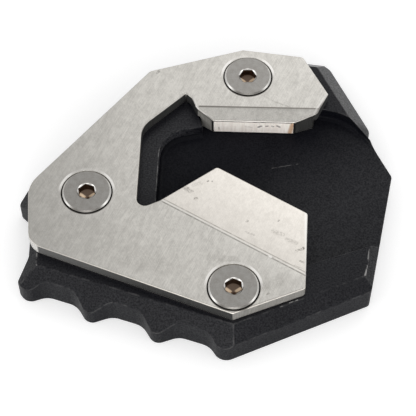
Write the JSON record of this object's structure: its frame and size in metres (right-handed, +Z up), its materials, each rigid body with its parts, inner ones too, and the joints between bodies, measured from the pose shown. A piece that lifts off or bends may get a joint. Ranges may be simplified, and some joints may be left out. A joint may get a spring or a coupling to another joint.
{
  "type": "kickstand foot enlarger",
  "caption": "Flat pad that clamps under a motorcycle side stand's foot to spread its load on soft ground, with a pocketed aluminium base and a screwed steel clamp plate.",
  "frame": {"origin": "centre of the overall outline at the base's flat underside", "axes": "+Z up from the underside through the clamp plate, +X along the longest side towards the pocket's open mouth, +Y away from the scalloped front edge towards the arm of the clamp plate"},
  "size_m": [0.0948, 0.0879, 0.0143],
  "materials": {
    "anodised_aluminium": "black anodised, satin, milled",
    "stainless_plate": "brushed, lightly worn",
    "stainless_screw": "satin, slightly dull"
  },
  "bodies": {
    "root": {"base": "anodised_aluminium", "clamp_plate": "stainless_plate", "screw_top": "stainless_screw", "screw_left": "stainless_screw", "screw_low": "stainless_screw"}
  },
  "joints": []
}
